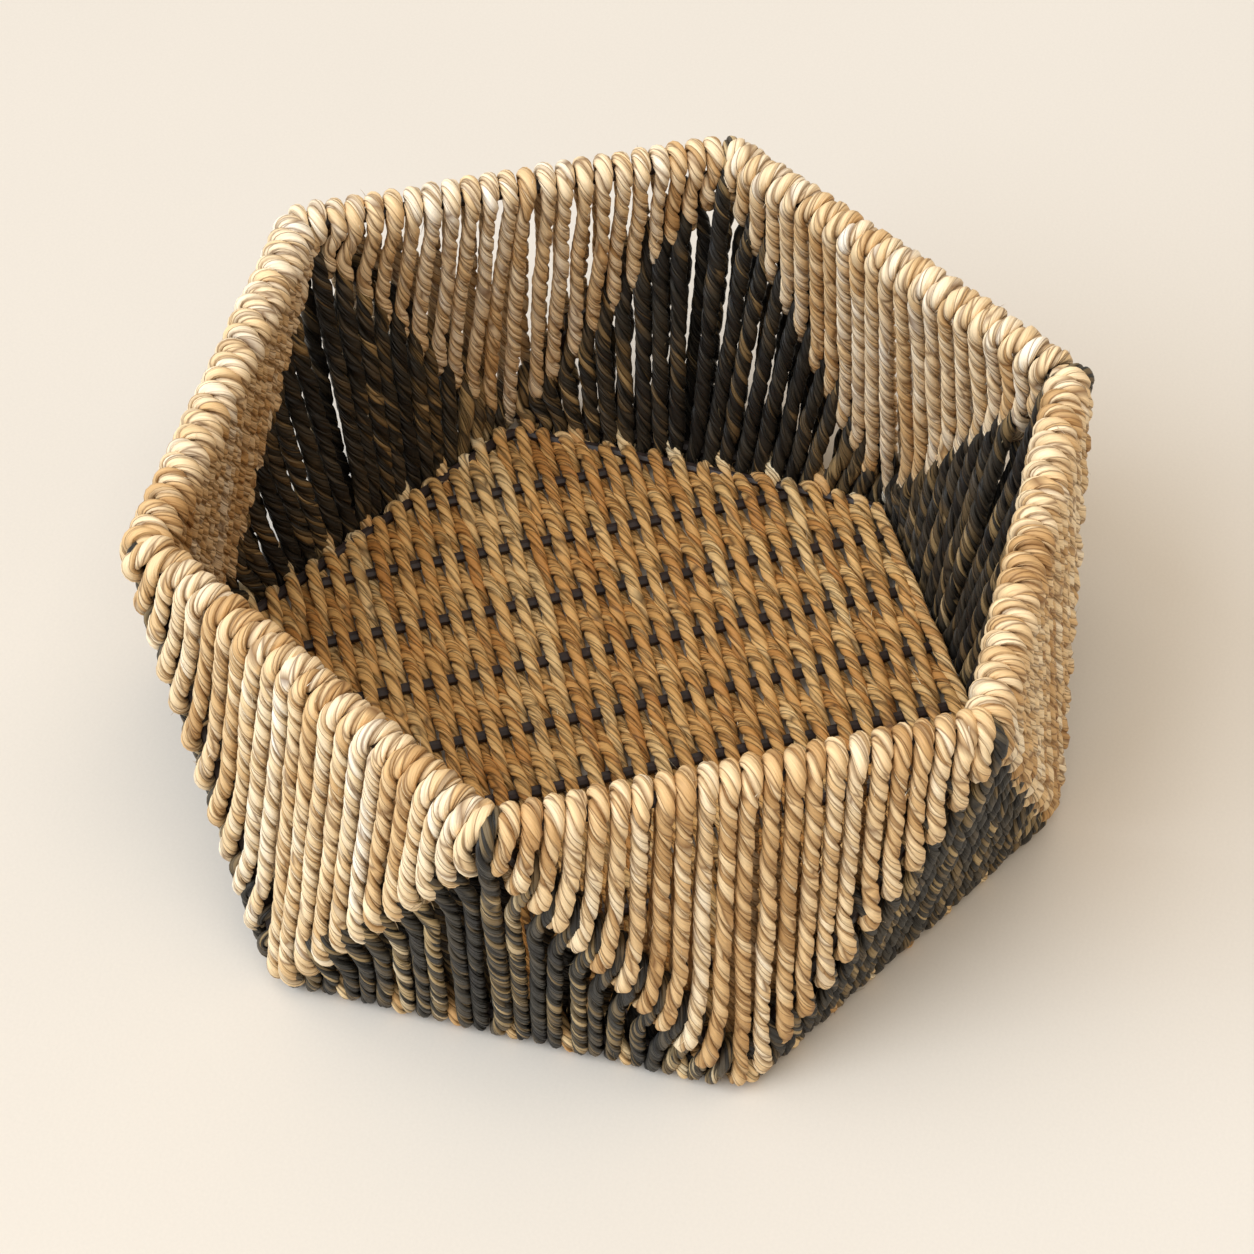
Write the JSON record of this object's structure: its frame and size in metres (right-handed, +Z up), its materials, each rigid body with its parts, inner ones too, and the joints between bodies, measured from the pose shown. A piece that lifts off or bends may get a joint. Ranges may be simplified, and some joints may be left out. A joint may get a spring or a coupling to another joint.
{
  "type": "wire frame rope basket",
  "caption": "Low open six-sided basket: natural and black grass rope wound in triangles on a welded iron wire frame, with a woven rope floor.",
  "frame": {"origin": "centre of the basket on the surface that it stands on", "axes": "+Z up out of the open top; +X towards a rim corner"},
  "size_m": [0.3164, 0.313, 0.1377],
  "materials": {
    "iron_wire": "dark brown lacquered welded wire",
    "natural_rope": "two-ply twisted dried seagrass, straw to tan",
    "black_rope": "two-ply twisted seagrass dyed charcoal black, tan fibres showing",
    "floor_rope": "two-ply twisted dried seagrass, golden brown"
  },
  "bodies": {
    "root": {"rim_ring": "iron_wire", "base_ring": "iron_wire", "strut_1": "iron_wire", "strut_2": "iron_wire", "strut_3": "iron_wire", "strut_4": "iron_wire", "strut_5": "iron_wire", "strut_6": "iron_wire", "strut_7": "iron_wire", "strut_8": "iron_wire", "strut_9": "iron_wire", "strut_10": "iron_wire", "strut_11": "iron_wire", "strut_12": "iron_wire", "natural_winding_1": "natural_rope", "natural_winding_2": "natural_rope", "natural_winding_3": "natural_rope", "natural_winding_4": "natural_rope", "natural_winding_5": "natural_rope", "natural_winding_6": "natural_rope", "black_winding_1": "black_rope", "black_winding_2": "black_rope", "black_winding_3": "black_rope", "black_winding_4": "black_rope", "black_winding_5": "black_rope", "black_winding_6": "black_rope", "floor_edge_wire": "iron_wire", "floor_rod_1": "iron_wire", "floor_rod_2": "iron_wire", "floor_rod_3": "iron_wire", "floor_rod_4": "iron_wire", "floor_rod_5": "iron_wire", "floor_rod_6": "iron_wire", "floor_rod_7": "iron_wire", "floor_rod_8": "iron_wire", "floor_rod_9": "iron_wire", "floor_weave": "floor_rope"}
  },
  "joints": []
}
